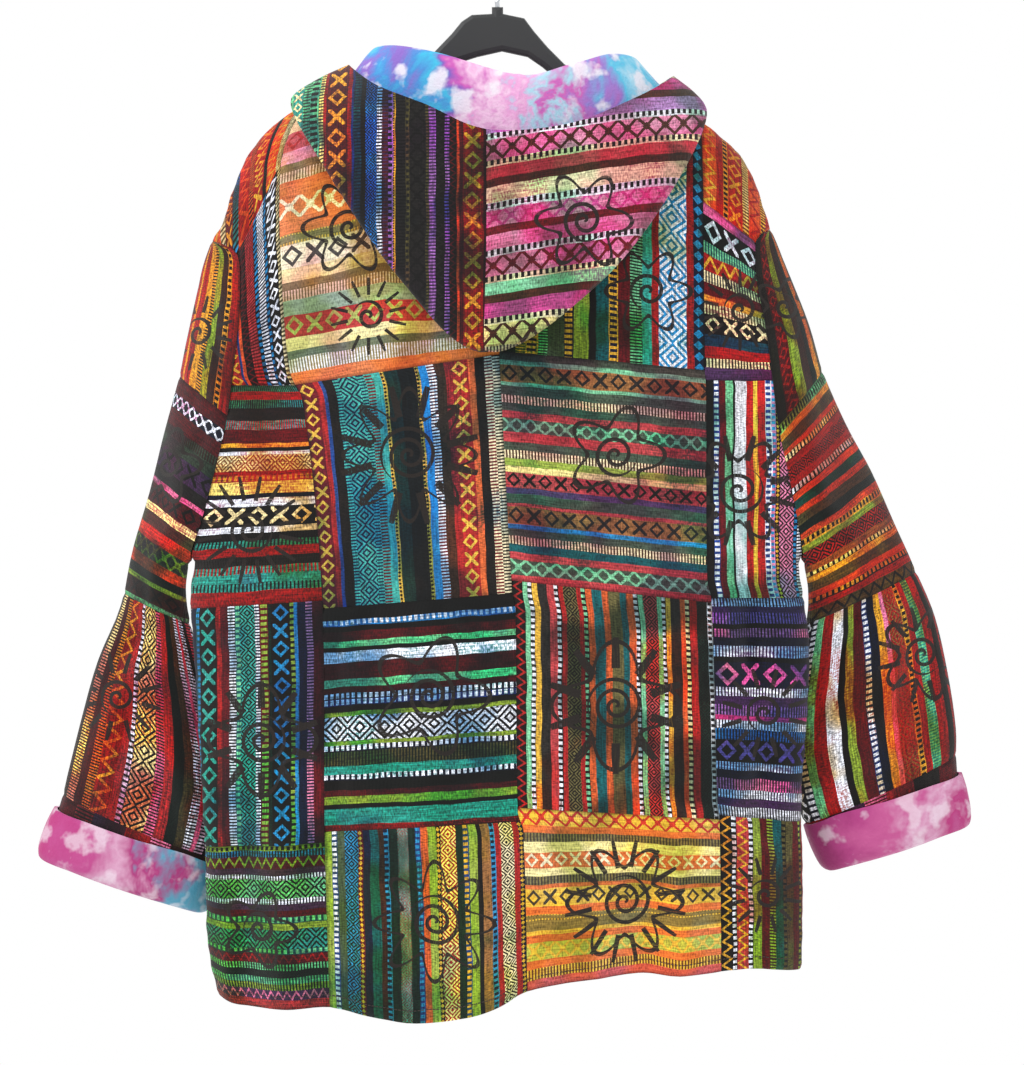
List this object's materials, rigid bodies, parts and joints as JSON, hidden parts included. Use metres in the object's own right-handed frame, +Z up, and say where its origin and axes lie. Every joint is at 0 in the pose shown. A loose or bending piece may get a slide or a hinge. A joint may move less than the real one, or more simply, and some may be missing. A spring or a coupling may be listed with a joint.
{
  "type": "patchwork jacket on a hanger",
  "caption": "Hooded patchwork jacket of striped woven cloth with wide sleeves, turned-back fleece cuffs and a closed front zip, hanging on a plain hanger.",
  "frame": {"origin": "inside of the crown of the hanger's hook", "axes": "+Z up, -Y out of the jacket's back, +X to the right seen from the back"},
  "size_m": [0.8469, 0.1569, 0.9641],
  "materials": {
    "patchwork_cloth": "matte woven cotton",
    "dyed_fleece": "brushed fleece",
    "hanger_plastic": "matte",
    "hook_steel": "polished",
    "zip_tape": "woven tape with moulded teeth",
    "zip_metal": "satin"
  },
  "bodies": {
    "jacket": {"back_A1": "patchwork_cloth", "back_A2": "patchwork_cloth", "back_A3": "patchwork_cloth", "back_A4": "patchwork_cloth", "back_A5": "patchwork_cloth", "back_B1": "patchwork_cloth", "back_B2": "patchwork_cloth", "back_B3": "patchwork_cloth", "back_B4": "patchwork_cloth", "back_C1": "patchwork_cloth", "back_C2": "patchwork_cloth", "back_C3": "patchwork_cloth", "back_C4": "patchwork_cloth", "back_D1": "patchwork_cloth", "back_D2": "patchwork_cloth", "back_D3": "patchwork_cloth", "back_D4": "patchwork_cloth", "back_D5": "patchwork_cloth", "front_left_1": "patchwork_cloth", "front_left_2": "patchwork_cloth", "front_left_3": "patchwork_cloth", "front_left_4": "patchwork_cloth", "front_right_1": "patchwork_cloth", "front_right_2": "patchwork_cloth", "front_right_3": "patchwork_cloth", "front_right_4": "patchwork_cloth", "sleeve_left_back_1": "patchwork_cloth", "sleeve_left_front_1": "patchwork_cloth", "sleeve_left_back_2": "patchwork_cloth", "sleeve_left_front_2": "patchwork_cloth", "sleeve_left_back_3": "patchwork_cloth", "sleeve_left_front_3": "patchwork_cloth", "sleeve_left_back_4": "patchwork_cloth", "sleeve_left_front_4": "patchwork_cloth", "sleeve_right_back_1": "patchwork_cloth", "sleeve_right_front_1": "patchwork_cloth", "sleeve_right_back_2": "patchwork_cloth", "sleeve_right_front_2": "patchwork_cloth", "sleeve_right_back_3": "patchwork_cloth", "sleeve_right_front_3": "patchwork_cloth", "sleeve_right_back_4": "patchwork_cloth", "sleeve_right_front_4": "patchwork_cloth", "hood_left": "patchwork_cloth", "hood_lining_left": "dyed_fleece", "cuff_left": "dyed_fleece", "hood_right": "patchwork_cloth", "hood_lining_right": "dyed_fleece", "cuff_right": "dyed_fleece", "hanger_body": "hanger_plastic", "hanger_hook": "hook_steel", "zip_chain": "zip_tape", "zip_slider": "zip_metal"},
    "zip_pull": {"zip_pull": "zip_metal"}
  },
  "joints": [
    {"name": "pull_tab_hinge", "type": "hinge", "parent": "jacket", "child": "zip_pull", "pos_m": [0, 0.03, -0.206], "axis": [1, 0, 0], "range_deg": [0, 150]}
  ]
}
